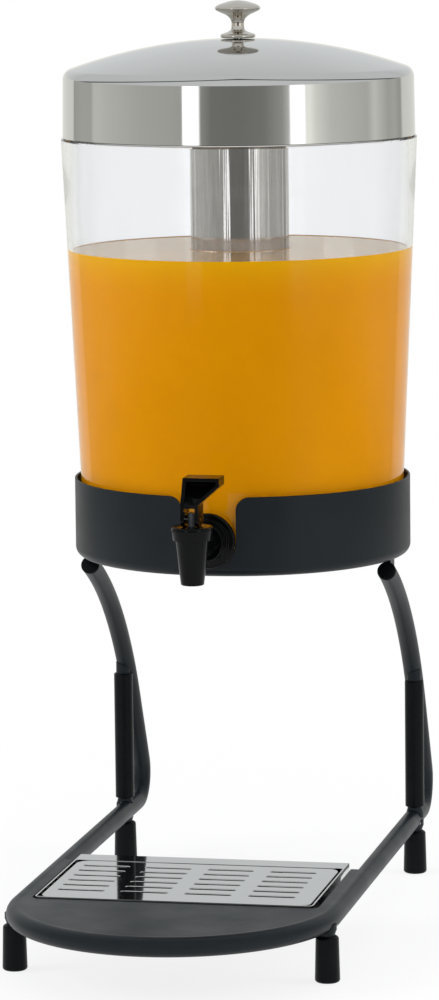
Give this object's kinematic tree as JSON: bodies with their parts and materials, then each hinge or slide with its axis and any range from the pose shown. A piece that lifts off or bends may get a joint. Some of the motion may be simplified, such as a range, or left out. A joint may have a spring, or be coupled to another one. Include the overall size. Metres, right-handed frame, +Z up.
{
  "type": "juice dispenser",
  "caption": "Cold drink dispenser: clear container with an ice tube, domed lid and self-closing tap, in a pan on a bent tube stand with a drip tray.",
  "frame": {"origin": "on the floor under the middle of the bounding box", "axes": "+Z up, the tap and the drip tray face -Y, +X to the right of someone who faces the back from the tap's side"},
  "size_m": [0.2252, 0.4408, 0.574],
  "materials": {
    "black_paint": "satin black powder coat",
    "black_rubber": "matt",
    "black_plastic": "gloss",
    "grey_plastic": "satin",
    "silicone": "matt",
    "polished_steel": "mirror polished stainless steel",
    "satin_steel": "brushed stainless steel",
    "clear_plastic": "clear polycarbonate",
    "juice": "cloudy orange liquid"
  },
  "bodies": {
    "stand": {"frame_tube": "black_paint", "leg_cap_left": "black_rubber", "leg_cap_right": "black_rubber", "post_rod_left": "black_paint", "post_rod_right": "black_paint", "post_sleeve_left": "black_rubber", "post_sleeve_right": "black_rubber", "foot_rod_front_left": "black_paint", "foot_rod_front_right": "black_paint", "foot_rod_rear_left": "black_paint", "foot_rod_rear_right": "black_paint", "foot_boot_front_left": "black_rubber", "foot_boot_front_right": "black_rubber", "foot_boot_rear_left": "black_rubber", "foot_boot_rear_right": "black_rubber", "cradle_pan": "black_paint", "pan_gusset_left": "black_paint", "pan_gusset_right": "black_paint", "deck_plate": "black_paint", "tray_strap_front": "black_paint", "tray_strap_rear": "black_paint"},
    "tray": {"drip_tray": "polished_steel"},
    "grille": {"drip_grille": "polished_steel"},
    "vessel": {"container": "clear_plastic", "juice": "juice", "tap_flange": "black_plastic", "tap_seal_outer": "silicone", "tap_seal_inner": "silicone", "tap_nut": "black_plastic", "tap_body": "black_plastic", "tap_bonnet": "black_plastic", "tap_spring": "polished_steel"},
    "cooler": {"ice_tube": "satin_steel"},
    "lid": {"lid_shell": "polished_steel", "lid_knob": "polished_steel", "knob_screw": "polished_steel", "knob_washer": "polished_steel"},
    "stem": {"tap_stem": "grey_plastic", "tap_seat_cup": "silicone"},
    "lever": {"tap_lever": "black_plastic", "tap_pivot_pin": "polished_steel"}
  },
  "joints": [
    {"name": "container_lift", "type": "slide", "parent": "stand", "child": "vessel", "axis": [0, 0, 1], "range_m": [0, 0.08]},
    {"name": "lid_lift", "type": "slide", "parent": "vessel", "child": "lid", "axis": [0, 0, 1], "range_m": [0, 0.33]},
    {"name": "ice_tube_lift", "type": "slide", "parent": "vessel", "child": "cooler", "axis": [0, 0, 1], "range_m": [0, 0.291]},
    {"name": "tray_lift", "type": "slide", "parent": "stand", "child": "tray", "axis": [0, 0, 1], "range_m": [0, 0.04]},
    {"name": "grille_lift", "type": "slide", "parent": "tray", "child": "grille", "axis": [0, 0, 1], "range_m": [0, 0.03]},
    {"name": "stem_lift", "type": "slide", "parent": "vessel", "child": "stem", "axis": [0, 0, 1], "range_m": [0, 0.0032], "deforming": ["tap_spring"]},
    {"name": "lever_tilt", "type": "hinge", "parent": "stem", "child": "lever", "pos_m": [0, -0.05948, 0.2657], "axis": [1, 0, 0], "range_deg": [0, 45], "stiffness_Nm_per_rad": 0.2, "springref_deg": -17.19}
  ],
  "couplings": [
    {"joint": "ice_tube_lift", "follows": "lid_lift", "ratio": 0.88},
    {"joint": "stem_lift", "follows": "lever_tilt", "m_per_rad": 0.004}
  ]
}
